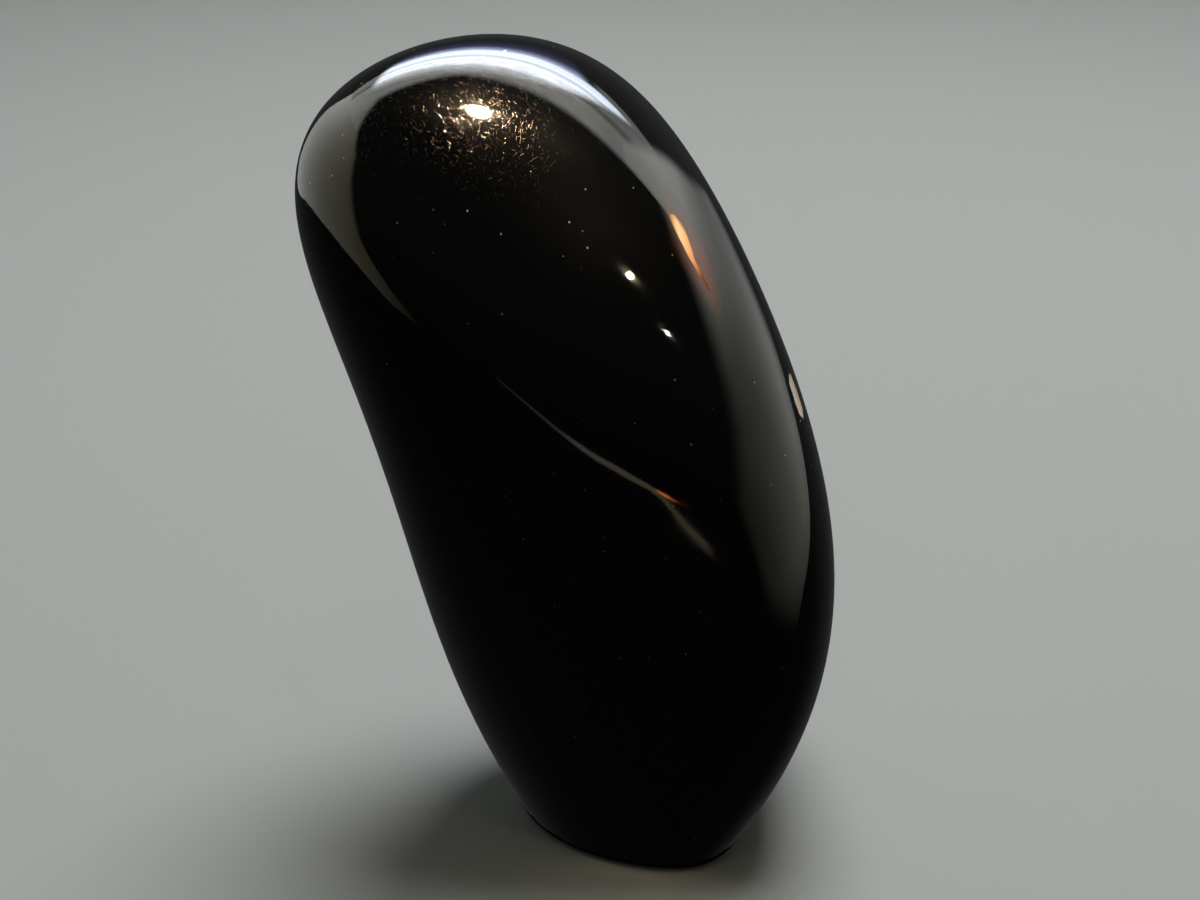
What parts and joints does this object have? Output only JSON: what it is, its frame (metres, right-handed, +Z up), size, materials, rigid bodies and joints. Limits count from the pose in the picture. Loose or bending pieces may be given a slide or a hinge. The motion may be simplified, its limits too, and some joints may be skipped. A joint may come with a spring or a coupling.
{
  "type": "tumbled amber",
  "caption": "Polished free-form lump of near-black amber with a rounded crown, leaning to one side, standing on a flat ground on its foot.",
  "frame": {"origin": "centre of the flat ground on the stone's foot", "axes": "+Z up, along the stone's length; the stone's broad front faces -Y and its crown leans towards -X"},
  "size_m": [0.0642, 0.0449, 0.1],
  "materials": {
    "amber": "polished, glossy, near black in the mass and brown where light comes through"
  },
  "bodies": {
    "root": {"amber_stone": "amber"}
  },
  "joints": []
}
